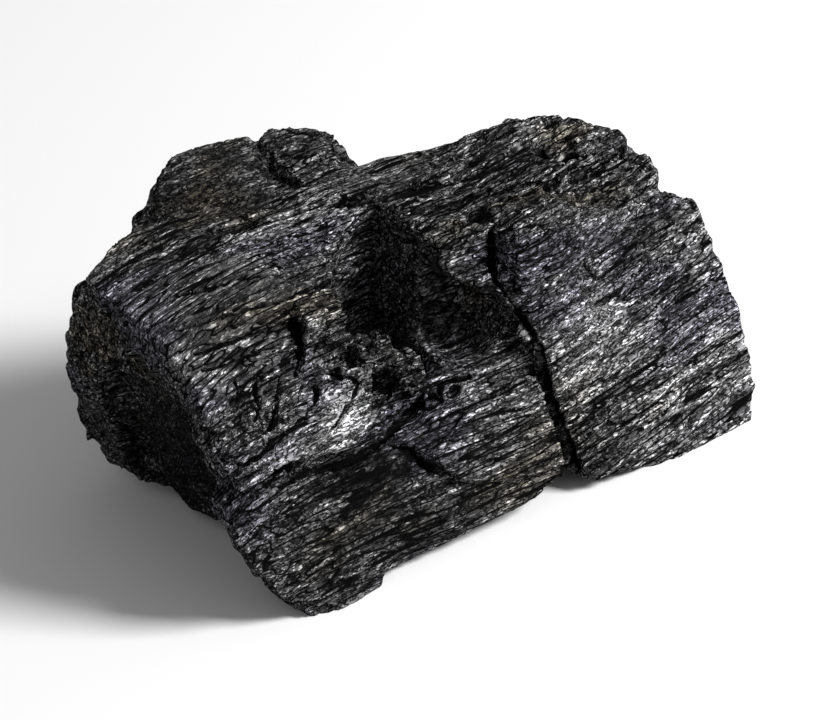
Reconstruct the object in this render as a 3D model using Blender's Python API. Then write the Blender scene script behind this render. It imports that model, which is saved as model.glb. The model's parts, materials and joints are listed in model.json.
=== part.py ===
"""A lump of charcoal: one broken length of charred hardwood, lying on its flattest side.

The wood's grain runs along X, Y is the depth and Z is up. The form is built from the convex
blocks that the wood split into, the cracks and hollows that the fire opened are cut from
them, and the grain's ridges are raised from the surface by a formula.
Every table is in millimetres, measured from the front left bottom corner of the lump.
"""

import itertools
import random

import bmesh
import bpy
import numpy as np
from mathutils import Vector, noise

MM = 0.001

# Driving dimensions.
CRACK_X = 60.0
SEED = 7

# Fineness of the faceted solid.
VOXEL = 1.15
TRIANGLES = 9000

# The wood's growth rings: their centre line runs along X below the lump.
PITH_Y = 20.0
PITH_Z = -60.0
RIDGE_SPACING = 4.2
RIDGE_HEIGHT = 0.5
LUMP_SIZE = 15.0
LUMP_HEIGHT = 1.0
STREAK_SIZE = np.array([26.0, 5.0, 5.0])
STREAK_HEIGHT = 0.7

CHARCOAL = (0.022, 0.022, 0.024, 1.0)
CHARCOAL_ROUGHNESS = 0.55


def body_block():
    """The main length of wood, behind the plates and blocks of the front."""
    left = [
        (3, 5, 3), (5, 48, 3), (1, 63, 4), (-8, 9, 18), (-11, 11, 28), (-12, 19, 41), (-12, 28, 46.5),
        (-12.5, 42, 49.5), (-11.5, 51, 51), (-11, 56, 43), (-9.5, 58, 28), (-5, 61, 19),
    ]
    top = [(0, 58, 51), (12, 63, 50), (56, 53, 48.5), (72, 47, 48), (93, 45, 48.5), (97, 42, 48.5)]
    back = [(8, 67, 36), (58, 69, 33), (92, 63, 32)]
    right = [
        (101, 4, 3), (97, 60, 4), (105, 8, 10), (106, 16, 25), (105, 24, 36), (106, 33, 44.5),
        (104, 38, 45.5), (99, 50, 38), (98, 60, 20),
    ]
    return left + top + back + right


def plank_block():
    """The split face along the bottom of the front, which overhangs at its left end."""
    return [
        (-1, 0, -1.5), (15, 0.5, 4), (36, 1.5, 5.5), (CRACK_X, 1.5, 5), (CRACK_X, 8, 3), (-5.5, 1, 3),
        (-13, 3, 13.5), (-17, 5, 19), (-15.5, 6, 24), (7, 8, 25), (24, 9, 24.5), (48, 12, 26),
        (CRACK_X, 14, 27), (-11, 19, 21), (-9, 14, 24), (2, 16, -1.5), (12, 12, -1.5),
        (11, 2, -1.5), (CRACK_X, 24, 4),
    ]


def patch_block():
    """The raised oval patch on the plank, beside the crack."""
    return [
        (28, 5, 19.5), (35, 1.8, 12.5), (45, 0.6, 9.5), (CRACK_X, 0.4, 7), (CRACK_X, 6, 18),
        (57, 9.5, 24.5), (42, 7.5, 23.5), (40, 14, 15), (CRACK_X, 14, 12),
    ]


def shoulder_block():
    """The left part of the front and top, above the undercut."""
    return [
        (-15, 7.5, 29), (-14.5, 13, 37), (-12.5, 18, 42), (-12.5, 27, 48), (14, 24.5, 49.5),
        (12.5, 17, 39), (9, 12.5, 31), (-10, 9.5, 27), (-12, 45, 50), (16, 46, 49), (0, 56, 51),
        (-4, 24, 30), (8, 26, 30), (23.5, 21, 46), (25, 29, 48.8), (31, 36, 49),
    ]


def knuckle_block():
    """The smooth curved face that bulges above the undercut."""
    return [
        (-15, 5.5, 26), (-13, 8.5, 29.5), (7, 7, 25.5), (22, 8.5, 24.5), (28, 10.5, 25.5), (26, 12.5, 29),
        (21.5, 13.8, 34.5), (13, 13.2, 36.5), (6, 12.8, 33), (-2, 20, 27), (26, 22, 27), (17, 18, 34.5),
    ]


def slab_block():
    """The thick plate at the right, which stands a little proud of the rest."""
    return [
        (CRACK_X, 0, 3), (CRACK_X + 20, 0.5, 0.5), (88, 0.5, -1.5), (105.5, 0.5, -1.5), (104, 13, -1.5),
        (90, 12, -1.5), (CRACK_X, 5, 15.6), (CRACK_X - 1, 9.5, 29),
        (58, 16, 39.5), (107.5, 4, 11.3), (107.5, 8, 20.4), (106.5, 12, 27), (106, 18.5, 37.5),
        (104, 26, 41), (105.5, 31, 44), (80, 19, 43), (CRACK_X + 2, 30, 4), (104, 30, 4), (60, 30, 45),
        (109, 21.5, 35.5),
    ]


def dome_block():
    """The smooth rounded block on the slab's upper left corner."""
    return [
        (57.5, 17, 40), (57.5, 17, 48.5), (60, 25, 50), (66, 15, 46), (72, 15.5, 46), (76, 17.5, 47.5),
        (74, 26, 49.8), (75, 12.5, 40), (62, 13.5, 38), (66, 20, 49.8), (66, 32, 46),
    ]


def brow_block():
    """The edge of the top between the pit and the slab, with the cave below it."""
    return [
        (46, 24, 45.5), (47, 38, 48.5), (59, 22.5, 49), (59, 16.5, 40), (59, 13.5, 34), (59.5, 10, 28),
        (51.5, 18, 39.5), (48, 40, 40), (59, 40, 40), (56, 13, 30), (59, 24, 28),
    ]


def knob_blocks():
    """The raised block at the back of the top, which a crack splits in two."""
    left = [
        (12.5, 62, 49), (14, 62, 57.5), (19, 64, 59.5), (30, 66, 58.2), (38.5, 65.5, 56.2),
        (39, 56, 49.5), (31, 53.5, 48), (16, 58.5, 50), (15, 68.5, 47), (38, 70, 46), (22, 68.5, 57),
        (26, 58, 54.5), (36, 69, 54),
    ]
    right = [
        (37, 62, 56), (43, 66, 56.4), (54.5, 63.5, 54), (57, 61, 51), (58, 57, 46.5), (50, 51.5, 47.5),
        (39, 52.5, 48), (57, 67, 43), (40, 70, 46), (48, 57, 52.5),
    ]
    return left, right


def back_blocks():
    """The plates that the back split into, the middle one carrying the knob."""
    left = [
        (-9, 60, 30), (-3, 65, 40), (12, 70, 42), (11, 69.5, 10), (-2, 64, 8), (14, 55, 40), (12, 55, 8),
        (-5, 54, 20),
    ]
    middle = [
        (13, 68, 49), (40, 70.5, 49), (57, 67, 44), (12, 70.5, 24), (44, 71.5, 26), (60, 70, 30),
        (20, 69, 14), (48, 69, 12), (16, 50, 44), (56, 50, 44), (20, 50, 14), (56, 50, 14),
    ]
    right = [
        (64, 67.5, 36), (93, 60.5, 36), (62, 66, 8), (95, 61, 6), (66, 60, 41), (90, 52, 43), (64, 50, 8),
        (94, 50, 8),
    ]
    return [left, middle, right]


def rear_pad_block():
    """The low swelling under the back, the third of the spots that the lump rests on."""
    return [
        (40, 52, -1.5), (56, 51, -1.5), (43, 62, -1.5), (54, 61, -1.5), (20, 40, 5), (76, 38, 5),
        (18, 66, 6), (78, 64, 6), (26, 69.5, 12), (70, 67.5, 12),
    ]


def ridge_block():
    """The raised band of coarse fibres along the back of the top."""
    return [
        (23, 54, 50.5), (19, 46, 50), (34, 36, 49.8), (42, 40, 50.3), (63, 36, 50), (80, 32.5, 49.5),
        (100, 29, 46.5), (57, 53, 49.5), (72, 47, 49.2), (92, 46.5, 50), (97, 42, 49.5), (104, 37, 46.5),
        (30, 48, 40), (95, 38, 38), (60, 56, 44),
    ]


def pit_cut():
    """The deep hollow in the top, burnt out behind the front face."""
    return [
        (34.5, 34.5, 56), (47, 41, 56), (49, 25, 56), (40, 10, 56), (31, 16, 56), (23, 22, 56),
        (40, 12, 34.5), (32, 15, 36), (21.5, 23, 34), (32, 38, 34), (46, 41.5, 34), (49, 27, 34),
        (28, 26, 24), (34, 35, 23), (43, 37, 22), (45, 26, 24), (38, 20, 25),
    ]


def cave_cut():
    """The cave that runs from the pit to the slab, under the edge of the top."""
    return [
        (44, 14, 44.5), (50, 9, 40), (57, 8, 35.5), (40, 10, 31), (50, 9, 28.5), (56.5, 7, 31),
        (43, 30, 43), (51, 30, 40), (57, 27, 34.5), (42, 28, 27), (50, 28, 26), (56, 24, 28.5),
    ]


def end_hollow_cut():
    """The hollow under the overhanging lip of the left end."""
    return [
        (-26, 13, -6), (-26, 57, -6), (3, 26, -6), (4, 50, -6), (2, 21, 16), (2, 53, 14),
        (-4, 22, 33), (-5, 49, 33), (-26, 10, 22), (-26, 12, 30), (-26, 54, 26), (-26, 17, 38.5),
        (-26, 23, 41.5), (-26, 30, 44.5), (-26, 46, 38), (-8, 24, 40.5), (-8, 36, 42),
    ]


def step_cuts():
    """Chips broken off the edges, which leave steps in the outline."""
    right_top = [
        (104.5, 23, 60), (118, 23, 60), (103.5, 60, 60), (118, 60, 60), (104.5, 24.5, 38), (118, 22.5, 36.5),
        (103.5, 60, 38), (118, 60, 38),
    ]
    right_shelf = [
        (95, 15, 60), (114, 15, 60), (114, 30.5, 60), (106, 30.5, 60), (95.5, 17, 43.5), (110, 17, 38),
        (114, 30.5, 33), (106, 30.5, 35), (114, 20, 36),
    ]
    right_back = [
        (91, 57, -5), (116, 48, -5), (116, 80, -5), (91, 80, -5), (93, 56, 26), (116, 48, 26),
        (116, 80, 30), (93, 80, 30),
    ]
    underside = [
        (11, -6, -6), (66, -6, -6), (17, -6, 5), (60, -6, 5.5), (14, 20, -6), (62, 20, -6),
    ]
    above_knuckle = [
        (13, 0, 60), (24, 0, 60), (11.5, 4, 38.5), (22.5, 4, 35.5), (13, 19.5, 38), (23, 18.5, 34.5),
        (15, 20, 45.5), (24, 20.5, 45.5),
    ]
    crumbled = [
        (21, 0, 60), (42, 0, 60), (24, 4, 31), (35, 4, 28.5), (25, 18.5, 30.5), (38, 19, 30),
        (42, 21, 36), (31, 23, 46), (22, 20.5, 45.5), (22, 4, 36),
    ]
    return [right_top, right_shelf, right_back, underside, above_knuckle, crumbled]


def chunks():
    """Bits that stand out, most of them in the crumbled zone, each as its middle and its size."""
    return [
        ((25, 17.5, 36), (10, 9, 9)), ((31, 13.5, 30.5), (4, 6, 9)), ((18.5, 15.5, 34), (7, 8, 7)),
        ((14, 20.5, 45), (7, 8, 7)), ((38, 17, 33), (6, 8, 7)), ((-6, 12.5, 32), (8, 4, 5)),
        ((3, 13, 33.5), (7, 4, 6)), ((30.5, 66, 18), (12, 9, 8)), ((78, 62, 20), (14, 9, 10)),
    ]


def holes():
    """Small holes that bits have dropped out of, each as its middle and its size."""
    return [
        ((18.3, 17.5, 41.5), (6, 10, 9)), ((25.6, 15, 31), (6, 9, 6)), ((36.3, 15.5, 31.5), (3, 9, 5)),
        ((11, 14, 34), (2, 7, 8)), ((-1.5, 13, 34.5), (1.8, 6, 7)), ((89, 35.5, 49.5), (5, 4, 7)),
        ((57, 13.5, 24), (2, 5, 6)), ((20, 50, 51), (7, 4, 4)), ((72, 68, 22), (9, 7, 5)),
    ]


def cracks():
    """Each crack as its route over the surface, its widths, the way in and the depth."""
    main = (
        [(60.5, 22, 52), (59, 17, 43), (58.8, 15, 38), (59, 9.5, 28.5), (59.8, 5, 17), (61.3, 0.5, 6),
         (62.5, -1.5, -3)],
        [1.2, 1.4, 1.4, 1.6, 2.0, 3.2, 4.4], (0.1, 0.9, -0.4), 11.0,
    )
    knob = (
        [(37.2, 64, 58.5), (38.2, 60.5, 56.5), (39.2, 57, 53), (40.5, 53, 51), (41.5, 49.5, 50)],
        [1.6, 3.4, 3.6, 2.4, 0.8], (0, 0.2, -1), 8.0,
    )
    undercut = (
        [(-20, 4, 26.4), (-11, 5, 26), (-6, 6, 25.8), (3, 6.8, 25.2), (10, 7.4, 23.9), (21, 8.4, 23),
         (31, 10, 23.8), (42, 11.5, 25.4)],
        [1.4, 1.8, 2.4, 4.2, 4.8, 4.4, 3.2, 1.6], (0.1, 1, -0.05), 7.0,
    )
    scar = (
        [(26, 8, 21.5), (29, 5.5, 17.5), (33, 3, 13), (39, 1.5, 9.5)],
        [1.2, 3.2, 3.4, 1.4], (0.5, 0.8, 0.2), 2.6,
    )
    ledge = (
        [(40, 38, 50), (52, 37, 50.3), (64, 35, 50), (80, 31.5, 49.5)],
        [1.6, 2.4, 2.0, 1.0], (0, 0.5, -0.8), 3.0,
    )
    top_right = (
        [(97.5, 37, 49.5), (98, 31, 46.5), (97.5, 26, 42.5)],
        [0.8, 1.6, 0.8], (0, 0.5, -0.8), 4.0,
    )
    shoulder_high = (
        [(-16, 42, 49.5), (-2, 40.5, 50), (14, 42, 50)],
        [1.2, 2.0, 0.8], (0, 0.3, -1), 2.2,
    )
    shoulder_low = (
        [(-16, 27, 46.5), (-4, 25.5, 48.5), (10, 27, 49.5)],
        [1.2, 2.0, 0.8], (0, 0.5, -0.9), 2.2,
    )
    under_long = (
        [(8, 34, 1), (34, 37, 1), (60, 33, 1), (92, 38, 1)],
        [1.6, 4.0, 4.4, 2.0], (0, 0, 1), 8.0,
    )
    under_short = (
        [(66, 33, 1), (69, 20, 1), (67, 8, 1)],
        [3.4, 3.0, 2.0], (0, 0, 1), 6.0,
    )
    back_long = (
        [(18, 70, 38), (40, 71, 33), (62, 70, 31), (86, 66, 27)],
        [1.2, 2.6, 2.8, 1.4], (0, -1, 0.15), 7.0,
    )
    back_short = (
        [(52, 74, 44), (50, 70, 30), (53, 69, 16)],
        [2.4, 2.6, 1.2], (0, -1, 0), 6.0,
    )
    right_end = (
        [(110, 8, 10), (107, 24, 20), (105, 42, 28), (101, 56, 36)],
        [1.4, 2.4, 2.6, 1.2], (-1, 0, 0.1), 9.0,
    )
    right_end_branch = (
        [(107, 25, 20), (105, 33, 10), (104, 38, -4)],
        [2.2, 2.0, 2.6], (-1, 0, 0), 7.0,
    )
    return [
        main, knob, undercut, scar, ledge, top_right, shoulder_high, shoulder_low, under_long, under_short,
        back_long, back_short, right_end, right_end_branch,
    ]


def new_object(name, mesh):
    """An object in the scene that holds this mesh."""
    item = bpy.data.objects.new(name, mesh)
    bpy.context.scene.collection.objects.link(item)
    return item


def hull(name, corners):
    """A convex solid round these corners."""
    shape = bmesh.new()
    for corner in corners:
        shape.verts.new(Vector(corner) * MM)
    made = bmesh.ops.convex_hull(shape, input=shape.verts)
    inside = [part for part in made["geom_interior"] if isinstance(part, bmesh.types.BMVert)]
    bmesh.ops.delete(shape, geom=inside, context="VERTS")
    bmesh.ops.recalc_face_normals(shape, faces=shape.faces)
    mesh = bpy.data.meshes.new(name)
    shape.to_mesh(mesh)
    shape.free()
    return new_object(name, mesh)


def shard(middle, size, draw):
    """The corners of a box of about this size that has broken unevenly."""
    middle = np.array(middle)
    half = np.array(size) / 2
    corners = []
    for sides in itertools.product((-1, 1), repeat=3):
        reach = np.array([draw.uniform(0.4, 1.15) for _ in sides])
        corners.append(middle + np.array(sides) * half * reach)
    return corners


def wedge(name, route, widths, inward, depth):
    """A tapering V-shaped cutter that follows a route over the surface."""
    way_in = Vector(inward).normalized()
    lift = 3.0
    shape = bmesh.new()
    rings = []
    for index, place in enumerate(route):
        here = Vector(place)
        before = Vector(route[max(index - 1, 0)])
        after = Vector(route[min(index + 1, len(route) - 1)])
        across = (after - before).cross(way_in).normalized()
        spread = 1 + lift / depth
        half = across * (widths[index] / 2 * spread)
        corners = [here - way_in * lift - half, here - way_in * lift + half, here + way_in * depth]
        rings.append([shape.verts.new(corner * MM) for corner in corners])
    for first, second in zip(rings, rings[1:]):
        for side in range(3):
            far = (side + 1) % 3
            shape.faces.new([first[side], first[far], second[far], second[side]])
    shape.faces.new(rings[0][::-1])
    shape.faces.new(rings[-1])
    bmesh.ops.triangulate(shape, faces=shape.faces)
    bmesh.ops.recalc_face_normals(shape, faces=shape.faces)
    mesh = bpy.data.meshes.new(name)
    shape.to_mesh(mesh)
    shape.free()
    return new_object(name, mesh)


def baked(item):
    """The object's mesh with its modifiers applied."""
    bpy.context.view_layer.update()
    graph = bpy.context.evaluated_depsgraph_get()
    mesh = bpy.data.meshes.new_from_object(item.evaluated_get(graph))
    item.modifiers.clear()
    old = item.data
    item.data = mesh
    bpy.data.meshes.remove(old)


def combine(item, others, operation):
    """Joins the other solids to the item, or cuts them from it, and removes them."""
    for other in others:
        step = item.modifiers.new(other.name, "BOOLEAN")
        step.operation = operation
        step.object = other
        step.solver = "EXACT"
    baked(item)
    for other in others:
        bpy.data.objects.remove(other)


def rough_form():
    """The lump's blocks joined, with its hollows, chips and cracks cut out."""
    left_knob, right_knob = knob_blocks()
    lump = hull("charcoal_lump", body_block())
    blocks = [
        plank_block(), patch_block(), shoulder_block(), knuckle_block(), slab_block(), dome_block(),
        brow_block(), left_knob, right_knob, ridge_block(), rear_pad_block(), *back_blocks(),
    ]
    combine(lump, [hull(f"block_{n}", corners) for n, corners in enumerate(blocks)], "UNION")
    cuts = [cave_cut(), end_hollow_cut(), *step_cuts()]
    combine(lump, [hull(f"cut_{n}", corners) for n, corners in enumerate(cuts)], "DIFFERENCE")
    draw = random.Random(SEED)
    bits = [shard(*chunk, draw) for chunk in chunks()]
    combine(lump, [hull(f"bit_{n}", corners) for n, corners in enumerate(bits)], "UNION")
    gaps = [pit_cut()] + [shard(*hole, draw) for hole in holes()]
    combine(lump, [hull(f"gap_{n}", corners) for n, corners in enumerate(gaps)], "DIFFERENCE")
    opened = [wedge(f"crack_{n}", *crack) for n, crack in enumerate(cracks())]
    combine(lump, opened, "DIFFERENCE")
    return lump


def remesh(item):
    """An even skin of small faces over everything that the surface encloses."""
    skin = item.modifiers.new("skin", "REMESH")
    skin.mode = "VOXEL"
    skin.voxel_size = VOXEL * MM
    baked(item)
    keep_largest_shell(item)


def keep_largest_shell(item):
    """Removes crumbs and closed bubbles, so that one skin is left."""
    shape = bmesh.new()
    shape.from_mesh(item.data)
    waiting = set(shape.verts)
    shells = []
    while waiting:
        edge_of_shell = [waiting.pop()]
        shell = []
        while edge_of_shell:
            point = edge_of_shell.pop()
            shell.append(point)
            for edge in point.link_edges:
                other = edge.other_vert(point)
                if other in waiting:
                    waiting.remove(other)
                    edge_of_shell.append(other)
        shells.append(shell)
    shells.sort(key=len)
    for shell in shells[:-1]:
        bmesh.ops.delete(shape, geom=shell, context="VERTS")
    shape.to_mesh(item.data)
    shape.free()


def layered(places, octaves):
    """Fractal noise at each place, from about -1 to 1."""
    return np.array([noise.fractal(Vector(place), 1.0, 2.0, octaves) for place in places])


def relief(places):
    """How far the surface stands out at each place, in millimetres."""
    lumps = LUMP_HEIGHT * layered(places / LUMP_SIZE, 3)
    streaks = STREAK_HEIGHT * layered(places / STREAK_SIZE, 2)
    ring = np.hypot(places[:, 1] - PITH_Y, places[:, 2] - PITH_Z)
    ring += 2.4 * layered(places / np.array([40.0, 14.0, 14.0]) + 7.0, 2)
    ridges = RIDGE_HEIGHT * (ring / RIDGE_SPACING % 1.0 - 0.5)
    return lumps + streaks + ridges


def carve(item):
    """Moves each point of the skin along its normal by the relief."""
    mesh = item.data
    count = len(mesh.vertices)
    places = np.empty(count * 3, np.float32)
    mesh.vertices.foreach_get("co", places)
    places = places.reshape(-1, 3).astype(float)
    normals = np.empty(count * 3, np.float32)
    mesh.vertex_normals.foreach_get("vector", normals)
    normals = normals.reshape(-1, 3)
    places += normals * relief(places / MM)[:, None] * MM
    mesh.vertices.foreach_set("co", places.astype(np.float32).ravel())
    mesh.update()


def thin_out(item):
    """Fewer faces where the surface is plain."""
    fewer = item.modifiers.new("fewer", "DECIMATE")
    mesh = item.data
    mesh.calc_loop_triangles()
    fewer.ratio = min(1.0, TRIANGLES / len(mesh.loop_triangles))
    baked(item)


def flatten_foot(item):
    """Cuts the low points off at the ground, which leaves the flats that the lump rests on."""
    ground = hull("ground", [(x, y, z) for x in (-60, 160) for y in (-60, 130) for z in (-40, 0)])
    combine(item, [ground], "DIFFERENCE")


def centre(item):
    """Puts the middle of the foot's bounding box at the origin."""
    mesh = item.data
    places = np.empty(len(mesh.vertices) * 3, np.float32)
    mesh.vertices.foreach_get("co", places)
    places = places.reshape(-1, 3)
    low = places.min(axis=0)
    high = places.max(axis=0)
    middle = (low + high) / 2
    middle[2] = low[2]
    mesh.vertices.foreach_set("co", (places - middle).ravel())
    mesh.update()


def charcoal():
    """Near-black charred wood with a dull shine."""
    look = bpy.data.materials.new("charcoal")
    look.use_nodes = True
    shader = look.node_tree.nodes["Principled BSDF"]
    shader.inputs["Base Color"].default_value = CHARCOAL
    shader.inputs["Roughness"].default_value = CHARCOAL_ROUGHNESS
    return look


def main():
    for item in list(bpy.data.objects):
        bpy.data.objects.remove(item)
    lump = rough_form()
    remesh(lump)
    carve(lump)
    remesh(lump)
    thin_out(lump)
    flatten_foot(lump)
    centre(lump)
    lump.data.materials.clear()
    lump.data.materials.append(charcoal())


main()
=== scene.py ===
"""A lump of charcoal, dressed for rendering.

Its form is made of the same blocks, hollows and cracks as the solid in the frame, in
millimetres from near the lump's front left bottom corner, but skinned much more finely. The
grain, the small cracks and the crumbs are then carved into that skin. The wood's grain runs
along X, Y is the depth and Z is up. The file is laid out as an add-on and is run as a script.
"""

import itertools
import json
import math
import random

import bmesh
import bpy
import numpy as np
from bpy.props import FloatProperty, FloatVectorProperty, IntProperty, PointerProperty
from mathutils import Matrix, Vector, noise

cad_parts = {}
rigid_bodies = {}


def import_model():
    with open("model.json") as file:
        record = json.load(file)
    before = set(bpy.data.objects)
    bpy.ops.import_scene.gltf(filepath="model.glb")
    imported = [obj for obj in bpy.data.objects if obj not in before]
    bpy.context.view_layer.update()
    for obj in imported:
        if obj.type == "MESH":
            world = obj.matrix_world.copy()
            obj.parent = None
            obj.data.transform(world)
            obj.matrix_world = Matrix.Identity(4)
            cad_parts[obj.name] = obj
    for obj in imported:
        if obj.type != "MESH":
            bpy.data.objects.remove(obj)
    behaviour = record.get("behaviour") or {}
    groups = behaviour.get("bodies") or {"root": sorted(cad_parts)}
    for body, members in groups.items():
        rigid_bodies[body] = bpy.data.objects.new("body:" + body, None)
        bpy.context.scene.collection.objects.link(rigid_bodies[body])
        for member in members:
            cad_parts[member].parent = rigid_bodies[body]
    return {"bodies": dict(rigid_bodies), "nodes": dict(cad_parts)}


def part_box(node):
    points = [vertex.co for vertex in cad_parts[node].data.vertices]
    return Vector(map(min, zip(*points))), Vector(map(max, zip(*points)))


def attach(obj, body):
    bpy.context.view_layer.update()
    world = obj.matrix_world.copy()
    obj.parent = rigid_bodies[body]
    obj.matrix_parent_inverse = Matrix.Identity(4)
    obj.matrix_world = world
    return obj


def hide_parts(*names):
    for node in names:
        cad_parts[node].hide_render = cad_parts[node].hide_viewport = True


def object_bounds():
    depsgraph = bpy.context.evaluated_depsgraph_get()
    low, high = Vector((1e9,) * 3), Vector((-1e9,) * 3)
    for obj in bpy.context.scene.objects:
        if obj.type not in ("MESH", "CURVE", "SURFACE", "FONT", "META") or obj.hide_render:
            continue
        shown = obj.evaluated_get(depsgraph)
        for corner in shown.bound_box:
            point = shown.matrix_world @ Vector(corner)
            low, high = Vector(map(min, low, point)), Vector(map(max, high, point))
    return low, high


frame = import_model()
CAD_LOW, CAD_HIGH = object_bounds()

bl_info = {
    "name": "Charcoal lump",
    "version": (1, 0, 0),
    "blender": (4, 5, 0),
    "location": "3D View > Sidebar > Charcoal",
    "description": "Builds a finely broken lump of charcoal over its packed solid",
    "category": "Add Mesh",
}

MM = 0.001
NODE = "charcoal_lump"

# What the skin notes at each point for the finish's painted light and shade: how high it stands, and how deep
# in a crack.
CREST = "crest"
SHUT = "shut"

# Driving dimensions, in millimetres, as in the solid.
CRACK_X = 60.0
SEED = 7

# The wood's growth rings: their centre line runs along X below the lump.
PITH_Y = 20.0
PITH_Z = -60.0

# The grain rises on the slab and bends back at the left end.
SLAB_RISE = 0.2
LEFT_BEND = 0.0045
BEND_START = 22.0

# Where the zero point of these dimensions lies in the part's own frame, in millimetres.
ZERO_POINT = np.array([-46.8, -35.5, 0.0])

# How far in from each side of its box the skin is drawn in or out to fit the solid, in metres.
FITTED_END = 0.01

# The fine cracks' routes are known from in front: the way to the eye, and how much of the
# distance along it is left out when a point's distance from a route is taken.
SEEN_FROM = np.array([-0.566, -0.661, 0.492])
FLATTENING = 0.9

# How far the fine cracks wander from their routes, in millimetres, and in what length of route.
CRACK_WANDER = 0.4
WANDER_LENGTH = 1.6

# How shut in the middle of a dent is, beside a crack's 1.
DENT_SHADE = 0.35

# How far the borders of the finish's zones are pushed about, in millimetres.
FRAYING = 22.0

# How much painted sheen the lump has outside the zones below, and the least it has anywhere.
PLAIN_SHEEN = 0.72
LEAST_SHEEN = 0.03

# The zones with more or less painted sheen, painted light and painted shade: middle, reach and gain.
SHEEN_AND_SHADE_ZONES = [
    ((91.8, 8, 20), (36, 36, 36), 0.6), ((71.8, 10, 29), (13, 13, 15), 0.2),
    ((89.8, 14, 36), (15, 11, 9), -0.35), ((103.8, 8, 22), (9, 14, 22), 0.4),
    ((67.8, 2, 6), (9, 12, 10), -0.3), ((77.8, 18, 43), (12, 10, 8), -0.1),
    ((3.8, 8.5, 28.5), (22, 9, 6), 0.8), ((14.8, 11, 33), (11, 9, 9), 0.9),
    ((29.8, 42, 50), (26, 12, 9), 0.6), ((19.8, 3, 12), (34, 10, 16), -0.4),
    # The zone first in this line is painted shade under the undercut.
    ((13.8, 7, 20), (24, 7, 4), -0.45), ((49.8, 3.5, 15.5), (13, 8, 11), 0.3),
    # The pit and the left end's hollow: painted shade.
    ((35.8, 26, 37), (17, 17, 15), -0.95), ((0, 40, 14), (13, 24, 26), -0.55),
    ((25.8, 61, 56), (19, 14, 11), -0.45), ((89.8, 35, 48), (15, 15, 9), 0.35),
    ((61.8, 32, 46), (12, 10, 6), -0.2), ((13.8, 50, 51), (9, 7, 5), -0.35),
    # The tops of the left end's lip, where light catches them: painted light.
    ((-12.2, 32, 48), (6, 12, 5), 0.3), ((-12.2, 50, 39), (6, 6, 6), 0.3),
    ((-12.2, 18, 41), (5, 6, 8), 0.3), ((62, 20, 41), (9, 10, 12), 0.4), ((60, 8, 22), (5, 8, 12), 0.2),
]

# The shoulder, where the strands lie combed out evenly: middle and reach.
COMBED_ZONE = ((-0.2, 30, 46), (20, 24, 13))

# The faces with few furrows: the knuckle, the slab's upper left part and the knob.
CALM_ZONES = [
    ((4.8, 9, 28.5), (21, 9, 5.5)), ((14.8, 11, 33), (8, 8, 6)), ((71.8, 11, 29), (13, 13, 13)),
    ((78.8, 18, 44), (13, 11, 9)), ((25.8, 62, 55), (16, 13, 12)),
]

# The browner rim above the left end.
BROWN_RIM = ((-11, 49, 38), (7, 10, 10))

# The hollows that soot fills: the pit, its cave and the one at the left end.
SOOTY_ZONES = [
    ((35.8, 26, 37), (18, 17, 15)), ((47.8, 22, 32), (12, 12, 12)), ((0, 42, 16), (11, 20, 22)),
]

# Where the fire left no relief of the grain: the pit and the left end's hollow.
BURNT_ZONES = [((39.8, 27, 36), (21, 17, 15)), ((0, 42, 16), (11, 18, 21))]

# Where the wood crumbled, where it checked into blocks and where it wore smooth.
BROKEN_ZONE = ((28.8, 14, 35), (17, 9, 11))
BLOCKY_ZONE = ((-4.2, 13, 37), (13, 7, 8))
SMOOTH_ZONE = ((7.8, 10, 30), (20, 8, 8.5))

# Where each soft light stands and how wide it is, in metres.
KEY_PLACE = (0.62, -0.72, 0.80)
KEY_WIDTH = 0.45
FILL_PLACE = (-1.1, -0.3, 0.9)
FILL_WIDTH = 0.9

# The floor's reach, and the gap that keeps it clear of the lump's flat feet, in metres.
FLOOR_RADIUS = 3.0
FLOOR_GAP = 0.0001

# The Mix node's colour sockets share their names, so they are found by number.
MIX_SHARE, MIX_FIRST, MIX_SECOND, MIX_COLOUR = 0, 6, 7, 2


class LumpSizes(bpy.types.PropertyGroup):
    """Sizes of the skin and of what is carved into it."""

    rough_skin: FloatProperty(
        name="Rough skin", description="Face size of the skin that the large relief is carved into",
        default=0.0007, min=0.0003, unit="LENGTH",
    )
    fine_skin: FloatProperty(
        name="Fine skin", description="Face size of the skin that the grain is carved into",
        default=0.00046, min=0.0003, unit="LENGTH",
    )
    triangles: IntProperty(
        name="Triangles", description="How many triangles the finished skin keeps", default=190000,
        min=9000,
    )
    lump_height: FloatProperty(
        name="Swellings", description="Height of the broad swellings", default=0.001, unit="LENGTH",
    )
    streak_height: FloatProperty(
        name="Streaks", description="Height of the long streaks", default=0.0007, unit="LENGTH",
    )
    ridge_spacing: FloatProperty(
        name="Ridge spacing", description="Distance between the growth rings that stand out",
        default=0.0042, unit="LENGTH",
    )
    ridge_height: FloatProperty(
        name="Ridges", description="Height of the growth rings' edges", default=0.0005, unit="LENGTH",
    )
    step_height: FloatProperty(
        name="Steps", description="Height of the thin steps between layers of fibres",
        default=0.00042, unit="LENGTH",
    )
    fibre_height: FloatProperty(
        name="Fibres", description="Height of the bundles of fibres", default=0.0005, unit="LENGTH",
    )
    groove_depth: FloatProperty(
        name="Grooves", description="Depth of the grooves along the grain", default=0.0006, unit="LENGTH",
    )
    check_depth: FloatProperty(
        name="Checks", description="Depth of the small cracks across the grain", default=0.0009,
        unit="LENGTH",
    )
    crumb_height: FloatProperty(
        name="Crumbs", description="Height of the crumbs in the broken zone", default=0.0013,
        unit="LENGTH",
    )


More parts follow.
